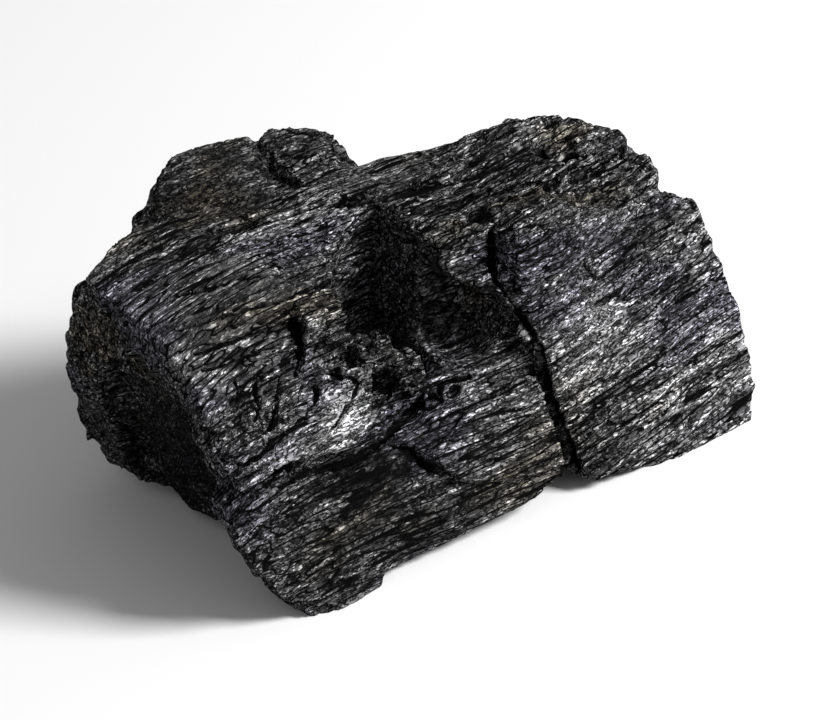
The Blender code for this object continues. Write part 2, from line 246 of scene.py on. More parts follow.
class CharcoalColours(bpy.types.PropertyGroup):
    """Colours and depths of the finish."""

    deep: FloatVectorProperty(
        name="Deep", description="Colour in the grooves", default=(0.0010, 0.0010, 0.0011), size=3,
        subtype="COLOR", min=0, max=1,
    )
    # The second colour is painted sheen: a light grey on the crests that stands in for the charcoal's silvery
    # sheen.
    painted_sheen: FloatVectorProperty(
        name="Worn", description="Colour on the crests of the grain", default=(0.85, 0.85, 0.87), size=3,
        subtype="COLOR", min=0, max=1,
    )
    warm: FloatVectorProperty(
        name="Warm", description="Tint of the browner patches", default=(0.72, 0.65, 0.52), size=3,
        subtype="COLOR", min=0, max=1,
    )
    cool: FloatVectorProperty(
        name="Cool", description="Tint of the bluer patches", default=(0.62, 0.60, 0.72), size=3,
        subtype="COLOR", min=0, max=1,
    )
    fibre_bump: FloatProperty(
        name="Fibre bump", description="Height of the finest fibres", default=0.0006, unit="LENGTH",
    )


class StudioSettings(bpy.types.PropertyGroup):
    """The floor, the lights and the camera."""

    floor_colour: FloatVectorProperty(
        name="Floor", description="Colour of the floor", default=(0.82, 0.82, 0.82), size=3,
        subtype="COLOR", min=0, max=1,
    )
    key_power: FloatProperty(
        name="Key light", description="Power of the soft light at the right", default=24.0, unit="POWER",
    )
    fill_power: FloatProperty(
        name="Fill light", description="Power of the weak light at the left", default=1.0, unit="POWER",
    )
    sky_strength: FloatProperty(
        name="Sky", description="Strength of the even light from all round", default=0.3, min=0,
    )
    azimuth: FloatProperty(
        name="Azimuth", description="Camera's angle round the lump", default=math.radians(-40.6),
        subtype="ANGLE",
    )
    elevation: FloatProperty(
        name="Elevation", description="Camera's angle above the floor", default=math.radians(29.5),
        subtype="ANGLE",
    )
    distance: FloatProperty(
        name="Distance", description="From the camera to the lump", default=1.3, unit="LENGTH",
    )
    view_width: FloatProperty(
        name="View width", description="Width that the camera sees at the lump", default=0.152,
        unit="LENGTH",
    )


def body_block():
    """The main length of wood, behind the plates and blocks of the front."""
    left = [
        (3, 5, 3), (5, 48, 3), (1, 63, 4), (-8, 9, 18), (-11, 11, 28), (-12, 19, 41), (-12, 28, 46.5),
        (-12.5, 42, 49.5), (-11.5, 51, 51), (-11, 56, 43), (-9.5, 58, 28), (-5, 61, 19),
    ]
    top = [(0, 58, 51), (12, 63, 50), (56, 53, 48.5), (72, 47, 48), (93, 45, 48.5), (97, 42, 48.5)]
    back = [(8, 67, 36), (58, 69, 33), (92, 63, 32)]
    right = [
        (101, 4, 3), (97, 60, 4), (105, 8, 10), (106, 16, 25), (105, 24, 36), (106, 33, 44.5),
        (104, 38, 45.5), (99, 50, 38), (98, 60, 20),
    ]
    return left + top + back + right


def plank_block():
    """The split face along the bottom of the front, which overhangs at its left end."""
    return [
        (-1, 0, -1.5), (15, 0.5, 4), (36, 1.5, 5.5), (CRACK_X, 1.5, 5), (CRACK_X, 8, 3), (-5.5, 1, 3),
        (-13, 3, 13.5), (-17, 5, 19), (-15.5, 6, 24), (7, 8, 25), (24, 9, 24.5), (48, 12, 26),
        (CRACK_X, 14, 27), (-11, 19, 21), (-9, 14, 24), (2, 16, -1.5), (12, 12, -1.5),
        (11, 2, -1.5), (CRACK_X, 24, 4),
    ]


def patch_block():
    """The raised oval patch on the plank, beside the crack."""
    return [
        (28, 5, 19.5), (35, 1.8, 12.5), (45, 0.6, 9.5), (CRACK_X, 0.4, 7), (CRACK_X, 6, 18),
        (57, 9.5, 24.5), (42, 7.5, 23.5), (40, 14, 15), (CRACK_X, 14, 12),
    ]


def shoulder_block():
    """The left part of the front and top, above the undercut."""
    return [
        (-15, 7.5, 29), (-14.5, 13, 37), (-12.5, 18, 42), (-12.5, 27, 48), (14, 24.5, 49.5),
        (12.5, 17, 39), (9, 12.5, 31), (-10, 9.5, 27), (-12, 45, 50), (16, 46, 49), (0, 56, 51),
        (-4, 24, 30), (8, 26, 30), (23.5, 21, 46), (25, 29, 48.8), (31, 36, 49),
    ]


def knuckle_block():
    """The smooth curved face that bulges above the undercut."""
    return [
        (-15, 5.5, 26), (-13, 8.5, 29.5), (7, 7, 25.5), (22, 8.5, 24.5), (28, 10.5, 25.5), (26, 12.5, 29),
        (21.5, 13.8, 34.5), (13, 13.2, 36.5), (6, 12.8, 33), (-2, 20, 27), (26, 22, 27), (17, 18, 34.5),
    ]


def slab_block():
    """The thick plate at the right, which stands a little proud of the rest."""
    return [
        (CRACK_X, 0, 3), (CRACK_X + 20, 0.5, 0.5), (88, 0.5, -1.5), (105.5, 0.5, -1.5), (104, 13, -1.5),
        (90, 12, -1.5), (CRACK_X, 5, 15.6), (CRACK_X - 1, 9.5, 29),
        (58, 16, 39.5), (107.5, 4, 11.3), (107.5, 8, 20.4), (106.5, 12, 27), (106, 18.5, 37.5),
        (104, 26, 41), (105.5, 31, 44), (80, 19, 43), (CRACK_X + 2, 30, 4), (104, 30, 4), (60, 30, 45),
        (109, 21.5, 35.5),
    ]


def dome_block():
    """The smooth rounded block on the slab's upper left corner."""
    return [
        (57.5, 17, 40), (57.5, 17, 48.5), (60, 25, 50), (66, 15, 46), (72, 15.5, 46), (76, 17.5, 47.5),
        (74, 26, 49.8), (75, 12.5, 40), (62, 13.5, 38), (66, 20, 49.8), (66, 32, 46),
    ]


def brow_block():
    """The edge of the top between the pit and the slab, with the cave below it."""
    return [
        (46, 24, 45.5), (47, 38, 48.5), (59, 22.5, 49), (59, 16.5, 40), (59, 13.5, 34), (59.5, 10, 28),
        (51.5, 18, 39.5), (48, 40, 40), (59, 40, 40), (56, 13, 30), (59, 24, 28),
    ]


def knob_blocks():
    """The raised block at the back of the top, which a crack splits in two."""
    left = [
        (12.5, 62, 49), (14, 62, 57.5), (19, 64, 59.5), (30, 66, 58.2), (38.5, 65.5, 56.2),
        (39, 56, 49.5), (31, 53.5, 48), (16, 58.5, 50), (15, 68.5, 47), (38, 70, 46), (22, 68.5, 57),
        (26, 58, 54.5), (36, 69, 54),
    ]
    right = [
        (37, 62, 56), (43, 66, 56.4), (54.5, 63.5, 54), (57, 61, 51), (58, 57, 46.5), (50, 51.5, 47.5),
        (39, 52.5, 48), (57, 67, 43), (40, 70, 46), (48, 57, 52.5),
    ]
    return left, right


def back_blocks():
    """The plates that the back split into, the middle one carrying the knob."""
    left = [
        (-9, 60, 30), (-3, 65, 40), (12, 70, 42), (11, 69.5, 10), (-2, 64, 8), (14, 55, 40), (12, 55, 8),
        (-5, 54, 20),
    ]
    middle = [
        (13, 68, 49), (40, 70.5, 49), (57, 67, 44), (12, 70.5, 24), (44, 71.5, 26), (60, 70, 30),
        (20, 69, 14), (48, 69, 12), (16, 50, 44), (56, 50, 44), (20, 50, 14), (56, 50, 14),
    ]
    right = [
        (64, 67.5, 36), (93, 60.5, 36), (62, 66, 8), (95, 61, 6), (66, 60, 41), (90, 52, 43), (64, 50, 8),
        (94, 50, 8),
    ]
    return [left, middle, right]


def rear_pad_block():
    """The low swelling under the back, the third of the spots that the lump rests on."""
    return [
        (40, 52, -1.5), (56, 51, -1.5), (43, 62, -1.5), (54, 61, -1.5), (20, 40, 5), (76, 38, 5),
        (18, 66, 6), (78, 64, 6), (26, 69.5, 12), (70, 67.5, 12),
    ]


def ridge_block():
    """The raised band of coarse fibres along the back of the top."""
    return [
        (23, 54, 50.5), (19, 46, 50), (34, 36, 49.8), (42, 40, 50.3), (63, 36, 50), (80, 32.5, 49.5),
        (100, 29, 46.5), (57, 53, 49.5), (72, 47, 49.2), (92, 46.5, 50), (97, 42, 49.5), (104, 37, 46.5),
        (30, 48, 40), (95, 38, 38), (60, 56, 44),
    ]


def pit_cut():
    """The deep hollow in the top, burnt out behind the front face."""
    return [
        (34.5, 34.5, 56), (47, 41, 56), (49, 25, 56), (40, 10, 56), (31, 16, 56), (23, 22, 56),
        (40, 12, 34.5), (32, 15, 36), (21.5, 23, 34), (32, 38, 34), (46, 41.5, 34), (49, 27, 34),
        (28, 26, 24), (34, 35, 23), (43, 37, 22), (45, 26, 24), (38, 20, 25),
    ]


def cave_cut():
    """The cave that runs from the pit to the slab, under the edge of the top."""
    return [
        (44, 14, 44.5), (50, 9, 40), (57, 8, 35.5), (40, 10, 31), (50, 9, 28.5), (56.5, 7, 31),
        (43, 30, 43), (51, 30, 40), (57, 27, 34.5), (42, 28, 27), (50, 28, 26), (56, 24, 28.5),
    ]


def end_hollow_cut():
    """The hollow under the overhanging lip of the left end."""
    return [
        (-26, 13, -6), (-26, 57, -6), (3, 26, -6), (4, 50, -6), (2, 21, 16), (2, 53, 14),
        (-4, 22, 33), (-5, 49, 33), (-26, 10, 22), (-26, 12, 30), (-26, 54, 26), (-26, 17, 38.5),
        (-26, 23, 41.5), (-26, 30, 44.5), (-26, 46, 38), (-8, 24, 40.5), (-8, 36, 42),
    ]


def step_cuts():
    """Chips broken off the edges, which leave steps in the outline."""
    right_top = [
        (104.5, 23, 60), (118, 23, 60), (103.5, 60, 60), (118, 60, 60), (104.5, 24.5, 38), (118, 22.5, 36.5),
        (103.5, 60, 38), (118, 60, 38),
    ]
    right_shelf = [
        (95, 15, 60), (114, 15, 60), (114, 30.5, 60), (106, 30.5, 60), (95.5, 17, 43.5), (110, 17, 38),
        (114, 30.5, 33), (106, 30.5, 35), (114, 20, 36),
    ]
    right_back = [
        (91, 57, -5), (116, 48, -5), (116, 80, -5), (91, 80, -5), (93, 56, 26), (116, 48, 26),
        (116, 80, 30), (93, 80, 30),
    ]
    underside = [
        (11, -6, -6), (66, -6, -6), (17, -6, 5), (60, -6, 5.5), (14, 20, -6), (62, 20, -6),
    ]
    above_knuckle = [
        (13, 0, 60), (24, 0, 60), (11.5, 4, 38.5), (22.5, 4, 35.5), (13, 19.5, 38), (23, 18.5, 34.5),
        (15, 20, 45.5), (24, 20.5, 45.5),
    ]
    crumbled = [
        (21, 0, 60), (42, 0, 60), (24, 4, 31), (35, 4, 28.5), (25, 18.5, 30.5), (38, 19, 30),
        (42, 21, 36), (31, 23, 46), (22, 20.5, 45.5), (22, 4, 36),
    ]
    return [right_top, right_shelf, right_back, underside, above_knuckle, crumbled]


def chunks():
    """Bits that stand out, most of them in the crumbled zone, each as its middle and its size."""
    return [
        ((25, 17.5, 36), (10, 9, 9)), ((31, 13.5, 30.5), (4, 6, 9)), ((18.5, 15.5, 34), (7, 8, 7)),
        ((14, 20.5, 45), (7, 8, 7)), ((38, 17, 33), (6, 8, 7)), ((-6, 12.5, 32), (8, 4, 5)),
        ((3, 13, 33.5), (7, 4, 6)), ((30.5, 66, 18), (12, 9, 8)), ((78, 62, 20), (14, 9, 10)),
    ]


def holes():
    """Small holes that bits have dropped out of, each as its middle and its size."""
    return [
        ((18.3, 17.5, 41.5), (6, 10, 9)), ((25.6, 15, 31), (6, 9, 6)), ((36.3, 15.5, 31.5), (3, 9, 5)),
        ((11, 14, 34), (2, 7, 8)), ((-1.5, 13, 34.5), (1.8, 6, 7)), ((89, 35.5, 49.5), (5, 4, 7)),
        ((57, 13.5, 24), (2, 5, 6)), ((20, 50, 51), (7, 4, 4)), ((72, 68, 22), (9, 7, 5)),
    ]


def cracks():
    """Each crack as its route over the surface, its widths, the way in and the depth."""
    main = (
        [(60.5, 22, 52), (59, 17, 43), (58.8, 15, 38), (59, 9.5, 28.5), (59.8, 5, 17), (61.3, 0.5, 6),
         (62.5, -1.5, -3)],
        [1.2, 1.4, 1.4, 1.6, 2.0, 3.2, 4.4], (0.1, 0.9, -0.4), 11.0,
    )
    knob = (
        [(37.2, 64, 58.5), (38.2, 60.5, 56.5), (39.2, 57, 53), (40.5, 53, 51), (41.5, 49.5, 50)],
        [1.6, 3.4, 3.6, 2.4, 0.8], (0, 0.2, -1), 8.0,
    )
    undercut = (
        [(-20, 4, 26.4), (-11, 5, 26), (-6, 6, 25.8), (3, 6.8, 25.2), (10, 7.4, 23.9), (21, 8.4, 23),
         (31, 10, 23.8), (42, 11.5, 25.4)],
        [1.4, 1.8, 2.4, 4.2, 4.8, 4.4, 3.2, 1.6], (0.1, 1, -0.05), 7.0,
    )
    scar = (
        [(26, 8, 21.5), (29, 5.5, 17.5), (33, 3, 13), (39, 1.5, 9.5)],
        [1.2, 3.2, 3.4, 1.4], (0.5, 0.8, 0.2), 2.6,
    )
    ledge = (
        [(40, 38, 50), (52, 37, 50.3), (64, 35, 50), (80, 31.5, 49.5)],
        [1.6, 2.4, 2.0, 1.0], (0, 0.5, -0.8), 3.0,
    )
    top_right = (
        [(97.5, 37, 49.5), (98, 31, 46.5), (97.5, 26, 42.5)],
        [0.8, 1.6, 0.8], (0, 0.5, -0.8), 4.0,
    )
    shoulder_high = (
        [(-16, 42, 49.5), (-2, 40.5, 50), (14, 42, 50)],
        [1.2, 2.0, 0.8], (0, 0.3, -1), 2.2,
    )
    shoulder_low = (
        [(-16, 27, 46.5), (-4, 25.5, 48.5), (10, 27, 49.5)],
        [1.2, 2.0, 0.8], (0, 0.5, -0.9), 2.2,
    )
    under_long = (
        [(8, 34, 1), (34, 37, 1), (60, 33, 1), (92, 38, 1)],
        [1.6, 4.0, 4.4, 2.0], (0, 0, 1), 8.0,
    )
    under_short = (
        [(66, 33, 1), (69, 20, 1), (67, 8, 1)],
        [3.4, 3.0, 2.0], (0, 0, 1), 6.0,
    )
    back_long = (
        [(18, 70, 38), (40, 71, 33), (62, 70, 31), (86, 66, 27)],
        [1.2, 2.6, 2.8, 1.4], (0, -1, 0.15), 7.0,
    )
    back_short = (
        [(52, 74, 44), (50, 70, 30), (53, 69, 16)],
        [2.4, 2.6, 1.2], (0, -1, 0), 6.0,
    )
    right_end = (
        [(110, 8, 10), (107, 24, 20), (105, 42, 28), (101, 56, 36)],
        [1.4, 2.4, 2.6, 1.2], (-1, 0, 0.1), 9.0,
    )
    right_end_branch = (
        [(107, 25, 20), (105, 33, 10), (104, 38, -4)],
        [2.2, 2.0, 2.6], (-1, 0, 0), 7.0,
    )
    return [
        main, knob, undercut, scar, ledge, top_right, shoulder_high, shoulder_low, under_long, under_short,
        back_long, back_short, right_end, right_end_branch,
    ]


def fine_cracks():
    """Small cracks that only the fine skin shows: each one's route, its widths and its depth."""
    tongue_top = (
        [(-10.2, 9.5, 30.5), (-5.7, 9.5, 30.5), (0.3, 10.5, 32), (3.3, 10.5, 32.5)],
        [0.6, 1.1, 1.4, 0.9], 1.7,
    )
    tongue_side = (
        [(3.3, 10.5, 32.5), (6.3, 11, 33.5), (8.8, 12, 34.5), (11.8, 15, 36)],
        [0.9, 0.6, 1.3, 1.0], 1.6,
    )
    shoulder_end = (
        [(11.8, 22, 47), (10.8, 19.5, 45), (10.3, 17.5, 43), (8.8, 16, 39)],
        [0.9, 1.6, 1.2, 1.3], 2.0,
    )
    knuckle_cut = ([(10.3, 9.5, 29.5), (14.8, 10.5, 31.5), (19.3, 12, 34)], [0.5, 0.9, 1.4], 1.6)
    knuckle_edge = ([(14.8, 16.5, 37), (16.3, 14, 36.5), (18.8, 12, 35)], [1.0, 1.2, 1.3], 1.8)
    finger_left = ([(26.3, 12.5, 35), (27.8, 14, 30), (25.3, 12, 28.5)], [1.2, 1.3, 0.7], 1.8)
    undercut_end = (
        [(19.8, 10, 22.5), (25.8, 11, 23.5), (29.8, 11, 25.5), (33.8, 12, 26), (39.8, 12.5, 27),
         (45.8, 12.5, 26.5)],
        [1.9, 1.7, 1.7, 1.4, 1.2, 0.9], 2.0,
    )
    undercut_shade = (
        [(-6.7, 8.5, 25), (-1.8, 9, 23.6), (5.5, 10, 23.7), (11.3, 9.4, 22.5), (18.2, 9.9, 22.1),
         (24.1, 11.4, 22.5)],
        [0.5, 1.2, 1.8, 2.1, 1.9, 1.2], 1.2,
    )
    scar_start = ([(24.8, 9.5, 21.5), (27.3, 7.5, 19.5), (29.8, 5.5, 16.5)], [1.2, 1.6, 1.9], 1.2)
    chip = ([(76.3, 16.5, 38), (75.8, 15.5, 36.5), (77.3, 13.5, 34.5)], [0.6, 0.9, 0.5], 1.6)
    top_crack = (
        [(39.8, 44.5, 50.5), (42.3, 43.5, 50.5), (48.3, 40.5, 50.5), (54.8, 40, 50), (63.3, 37.5, 50),
         (68.8, 37, 50)],
        [1.5, 2.2, 2.0, 2.8, 2.0, 2.3], 2.6,
    )
    bump_crack = (
        [(68.1, 37.3, 49.9), (72.8, 37.1, 49.9), (76.8, 37.2, 50.2), (81, 33.5, 49.5), (88.3, 33, 48)],
        [0.9, 1.5, 1.2, 1.5, 1.7], 1.8,
    )
    slab_edge = (
        [(63.3, 28.5, 47), (59.5, 23, 48.5), (57.4, 20.6, 46.5), (56.1, 19.3, 42.5), (56.2, 17, 39.4),
         (56.8, 16, 37.2)],
        [0.4, 0.9, 1.4, 1.6, 1.3, 0.7], 2.0,
    )
    main_edge = (
        [(57.1, 15.8, 37.2), (58.1, 13.7, 34.4), (58.9, 11.3, 31), (59.5, 9.7, 27.4), (59, 8, 22.5),
         (59.3, 5.2, 17), (60.8, 1, 7)],
        [0.7, 1.1, 1.3, 1.4, 1.4, 1.6, 2.6], 1.8,
    )
    block_cuts = [
        ([(-4.2, 18, 41.5), (-5.2, 16, 39.5), (-7.2, 14, 38)], [0.6, 1.0, 0.6], 1.3),
        ([(-0.2, 17, 41.5), (-2.2, 15, 39.5), (-2.2, 13.5, 38), (-4.2, 12.5, 36)], [0.5, 1.1, 0.7, 0.9], 1.4),
        ([(4.8, 16.5, 40.5), (2.8, 14, 38.5), (0.3, 12.5, 36), (-2.2, 11.5, 34)], [0.6, 1.2, 0.7, 0.9], 1.4),
    ]
    combed = [
        ([(-8.2, 28.5, 49), (-0.2, 26.5, 49.5), (7.8, 25.5, 49), (15.3, 25, 48.5)], [0.6, 0.9, 0.8, 0.4], 1.0),
        ([(-8.7, 23.5, 46), (-0.7, 22, 46.5), (6.8, 21.5, 46.5)], [0.7, 1.0, 0.5], 1.1),
        ([(-9.2, 21, 44), (-1.7, 19.5, 44), (6.8, 19, 44.5)], [0.6, 0.9, 0.6], 1.1),
        ([(-4.2, 37, 49.5), (3.8, 35, 50), (11.3, 33.5, 50.5)], [0.5, 0.9, 0.5], 1.0),
    ]
    return [
        tongue_top, tongue_side, shoulder_end, knuckle_cut, knuckle_edge, finger_left, undercut_end,
        undercut_shade, scar_start, chip, top_crack, bump_crack, slab_edge, main_edge, *block_cuts, *combed,
    ]


def dents():
    """Small hollows that only the fine skin shows: each one's middle, its reach and its depth."""
    notch = ((21.8, 49.5, 50.5), (5, 3.5, 5), 2.6)
    bump_hollow = ((86.3, 36.5, 50), (6, 4, 4), 2.6)
    beside_bump = ((79.8, 38, 50.5), (4, 3, 3), 1.4)
    return [notch, bump_hollow, beside_bump]


def new_object(name, data):
    """An object in the scene that holds this mesh, light or camera."""
    item = bpy.data.objects.new(name, data)
    bpy.context.scene.collection.objects.link(item)
    return item


def shaped_object(name, shape):
    """An object in the scene that has this shape, which is used up."""
    mesh = bpy.data.meshes.new(name)
    shape.to_mesh(mesh)
    shape.free()
    return new_object(name, mesh)


def hull(name, corners):
    """A convex solid round these corners."""
    shape = bmesh.new()
    for corner in corners:
        shape.verts.new(Vector(corner) * MM)
    made = bmesh.ops.convex_hull(shape, input=shape.verts)
    inside = [part for part in made["geom_interior"] if isinstance(part, bmesh.types.BMVert)]
    bmesh.ops.delete(shape, geom=inside, context="VERTS")
    bmesh.ops.recalc_face_normals(shape, faces=shape.faces)
    return shaped_object(name, shape)


def shard(middle, size, draw):
    """The corners of a box of about this size that has broken unevenly."""
    middle = np.array(middle)
    half = np.array(size) / 2
    corners = []
    for sides in itertools.product((-1, 1), repeat=3):
        reach = np.array([draw.uniform(0.4, 1.15) for _ in sides])
        corners.append(middle + np.array(sides) * half * reach)
    return corners


def wedge(name, route, widths, inward, depth):
    """A tapering V-shaped cutter that follows a route, and stands out a little over the surface."""
    way_in = Vector(inward).normalized()
    lift = 3.0
    shape = bmesh.new()
    rings = []
    for index, place in enumerate(route):
        here = Vector(place)
        before = Vector(route[max(index - 1, 0)])
        after = Vector(route[min(index + 1, len(route) - 1)])
        across = (after - before).cross(way_in).normalized()
        spread = 1 + lift / depth
        half = across * (widths[index] / 2 * spread)
        corners = [here - way_in * lift - half, here - way_in * lift + half, here + way_in * depth]
        rings.append([shape.verts.new(corner * MM) for corner in corners])
    for first, second in zip(rings, rings[1:]):
        for side in range(3):
            far = (side + 1) % 3
            shape.faces.new([first[side], first[far], second[far], second[side]])
    shape.faces.new(rings[0][::-1])
    shape.faces.new(rings[-1])
    bmesh.ops.triangulate(shape, faces=shape.faces)
    bmesh.ops.recalc_face_normals(shape, faces=shape.faces)
    return shaped_object(name, shape)


def apply_modifiers(item):
    """Gives the object the mesh that its modifiers make, and clears them."""
    bpy.context.view_layer.update()
    graph = bpy.context.evaluated_depsgraph_get()
    mesh = bpy.data.meshes.new_from_object(item.evaluated_get(graph))
    item.modifiers.clear()
    old = item.data
    item.data = mesh
    bpy.data.meshes.remove(old)


def combine(item, others, operation):
    """Joins the other solids to the item, or cuts them from it, and removes them."""
    for other in others:
        step = item.modifiers.new(other.name, "BOOLEAN")
        step.operation = operation
        step.object = other
        step.solver = "EXACT"
    apply_modifiers(item)
    for other in others:
        bpy.data.objects.remove(other)


def rough_form():
    """The lump's blocks joined, with its hollows, chips and cracks cut out."""
    left_knob, right_knob = knob_blocks()
    lump = hull("charcoal_skin", body_block())
    blocks = [
        plank_block(), patch_block(), shoulder_block(), knuckle_block(), slab_block(), dome_block(),
        brow_block(), left_knob, right_knob, ridge_block(), rear_pad_block(), *back_blocks(),
    ]
    combine(lump, [hull(f"block_{n}", corners) for n, corners in enumerate(blocks)], "UNION")
    cuts = [cave_cut(), end_hollow_cut(), *step_cuts()]
    combine(lump, [hull(f"cut_{n}", corners) for n, corners in enumerate(cuts)], "DIFFERENCE")
    draw = random.Random(SEED)
    bits = [shard(*chunk, draw) for chunk in chunks()]
    combine(lump, [hull(f"bit_{n}", corners) for n, corners in enumerate(bits)], "UNION")
    gaps = [pit_cut()] + [shard(*hole, draw) for hole in holes()]
    combine(lump, [hull(f"gap_{n}", corners) for n, corners in enumerate(gaps)], "DIFFERENCE")
    opened = [wedge(f"crack_{n}", *crack) for n, crack in enumerate(cracks())]
    combine(lump, opened, "DIFFERENCE")
    return lump


def keep_largest_shell(item):
    """Removes crumbs and closed bubbles, so that one skin is left."""
    shape = bmesh.new()
    shape.from_mesh(item.data)
    waiting = set(shape.verts)
    shells = []
    while waiting:
        edge_of_shell = [waiting.pop()]
        shell = []
        while edge_of_shell:
            point = edge_of_shell.pop()
            shell.append(point)
            for edge in point.link_edges:
                other = edge.other_vert(point)
                if other in waiting:
                    waiting.remove(other)
                    edge_of_shell.append(other)
        shells.append(shell)
    shells.sort(key=len)
    for shell in shells[:-1]:
        bmesh.ops.delete(shape, geom=shell, context="VERTS")
    shape.to_mesh(item.data)
    shape.free()


def layered(places, octaves):
    """Fractal noise at each place, from about -1 to 1."""
    return np.array([noise.fractal(Vector(place), 1.0, 2.0, octaves) for place in places])


def remesh(item, size):
    """An even skin of faces of this size over everything that the surface encloses."""
    skin = item.modifiers.new("skin", "REMESH")
    skin.mode = "VOXEL"
    skin.voxel_size = size
    apply_modifiers(item)
    keep_largest_shell(item)


def read_points(source, name):
    """A vector of each vertex, as rows of three."""
    rows = np.empty(len(source) * 3, np.float32)
    source.foreach_get(name, rows)
    return rows.reshape(-1, 3).astype(float)


def write_points(mesh, places):
    """Puts the vertices at these places."""
    mesh.vertices.foreach_set("co", places.astype(np.float32).ravel())
    mesh.update()


def broad_relief(places, sizes):
    """The relief that the solid in the frame has as well, in millimetres."""
    lumps = sizes.lump_height / MM * layered(places / 15.0, 3)
    streaks = sizes.streak_height / MM * layered(places / np.array([26.0, 5.0, 5.0]), 2)
    ring = ring_distance(places)
    ridges = sizes.ridge_height / MM * (ring / (sizes.ridge_spacing / MM) % 1.0 - 0.5)
    return lumps + streaks + ridges


def along_grain(places):
    """The places in a frame whose X follows the grain."""
    straight = places.copy()
    straight[:, 2] -= SLAB_RISE * np.maximum(places[:, 0] - CRACK_X, 0)
    straight[:, 1] += LEFT_BEND * np.maximum(BEND_START - places[:, 0], 0) ** 2
    return straight


def ring_distance(places):
    """Distance from the pith, a little uneven as growth rings are."""
    ring = np.hypot(places[:, 1] - PITH_Y, places[:, 2] - PITH_Z)
    return ring + 2.4 * layered(places / np.array([40.0, 14.0, 14.0]) + 7.0, 2)


def furrows(places, size, width, octaves, shift):
    """Narrow lines along the noise's zero crossings, 1 in their middle and 0 beside them."""
    wave = layered(places / np.array(size) + shift, octaves)
    return np.clip(1 - np.abs(wave) / width, 0, 1)


def zone(places, middle, reach):
    """How much each place belongs to a rounded zone, from 0 outside to 1 within."""
    far = np.linalg.norm((places - np.array(middle)) / np.array(reach), axis=1)
    return np.clip(2.5 * (1 - far), 0, 1)


def as_seen(places):
    """The places drawn together along the line of sight, since a route is known as it is seen."""
    return places - FLATTENING * (places @ SEEN_FROM)[:, None] * SEEN_FROM


def along_route(seen, route, widths):
    """How near each seen place is to a route: 1 on its middle, 0 from half its width away."""
    share = np.zeros(len(seen))
    route = as_seen(np.array(route))
    for start, end, width, next_width in zip(route, route[1:], widths, widths[1:]):
        way = end - start
        along = np.clip((seen - start) @ way / (way @ way), 0, 1)
        far = np.linalg.norm(seen - start - along[:, None] * way, axis=1)
        share = np.maximum(share, 1 - far / (0.5 * (width + (next_width - width) * along)))
    return np.clip(share, 0, 1)


def cuts(places):
    """How deep the fine cracks and dents go at each place, in millimetres, and how shut in it is."""
    depth = np.zeros(len(places))
    shut = np.zeros(len(places))
    waves = [layered(places / WANDER_LENGTH + shift, 3) for shift in (91.0, 95.0, 99.0)]
    places = places + CRACK_WANDER * np.stack(waves, axis=1)
    seen = as_seen(places)
    for route, widths, deepest in fine_cracks():
        near = along_route(seen, route, widths)
        depth = np.maximum(depth, deepest * np.sqrt(near))
        shut = np.maximum(shut, near)
    for middle, reach, deepest in dents():
        near = zone(places, middle, reach)
        depth = np.maximum(depth, deepest * near)
        shut = np.maximum(shut, DENT_SHADE * near)
    return depth, shut


def grain_relief(places, patches, sizes):
    """The relief of the long sides, where the fibres lie bare, and how high each place stands in it."""
    grain = along_grain(places)
    rough = np.clip(0.85 + 1.3 * patches, 0.35, 1.3)
    rough = rough * (1 - 0.75 * zone(places, *SMOOTH_ZONE)) * (1 - 0.4 * zone(places, *COMBED_ZONE))
    fibres = layered(grain / np.array([20.0, 1.6, 1.6]) + 5.0, 2)
    grooves = furrows(grain, (34.0, 2.4, 2.4), 0.17, 1, 11.0)
    splits = furrows(grain, (42.0, 8.0, 8.0), 0.05, 2, 21.0) * np.clip(0.4 + 3 * patches, 0, 1)
    layer = ring_distance(grain) + 1.3 * layered(grain / np.array([18.0, 4.0, 4.0]) + 17.0, 2)
    steps = layer / 1.45 % 1.0 - 0.5
    carved = (
        sizes.fibre_height * fibres * rough + sizes.step_height * steps * rough
        - sizes.groove_depth * grooves * rough - 1.4 * sizes.groove_depth * splits
    )
    crest = np.clip(0.65 + 0.8 * fibres + 0.5 * steps, 0, 1) * (1 - grooves) * (1 - splits)
    return carved, crest


def torn_relief(places, sizes):
    """The relief of the two ends, where the fibres broke off."""
    drawn = layered(places / np.array([8.0, 2.3, 15.0]) + 71.0, 3)
    rents = furrows(places, (12.0, 4.5, 32.0), 0.1, 2, 81.0)
    return 1.2 * sizes.fibre_height * drawn - 1.4 * sizes.groove_depth * rents


def fine_relief(places, normals, sizes):
    """At each place the fine relief in millimetres, how high it stands in it and how shut in it is."""
    end = np.clip((np.abs(normals[:, 0]) - 0.5) / 0.3, 0, 1)
    side = 1 - end
    broken = zone(places, *BROKEN_ZONE)
    blocky = zone(places, *BLOCKY_ZONE)
    burnt = np.max([zone(places, *hollow) for hollow in BURNT_ZONES], axis=0)
    patches = layered(along_grain(places) / np.array([26.0, 11.0, 11.0]) + 3.0, 2)
    carved, crest = grain_relief(places, patches, sizes)
    carved *= 1 - 0.88 * burnt
    across = furrows(places, (5.5, 13.0, 13.0), 0.07, 2, 31.0)
    checks = across * np.clip(0.9 * blocky + 0.7 * broken + np.clip(1.6 * patches - 0.25, 0, 0.6), 0, 1)
    crumbs = layered(places / 3.1 + 51.0, 3) - 0.6 * furrows(places, (3.4, 3.4, 3.4), 0.12, 1, 61.0)
    depth, shut = cuts(places)
    torn = torn_relief(places, sizes)
    relief = side * carved + end * torn * (1 - 0.85 * burnt) - sizes.check_depth * checks * side
    relief = (relief + sizes.crumb_height * crumbs * broken) / MM - depth
    return relief, 0.2 + 0.8 * (side * crest + 0.4 * end), shut


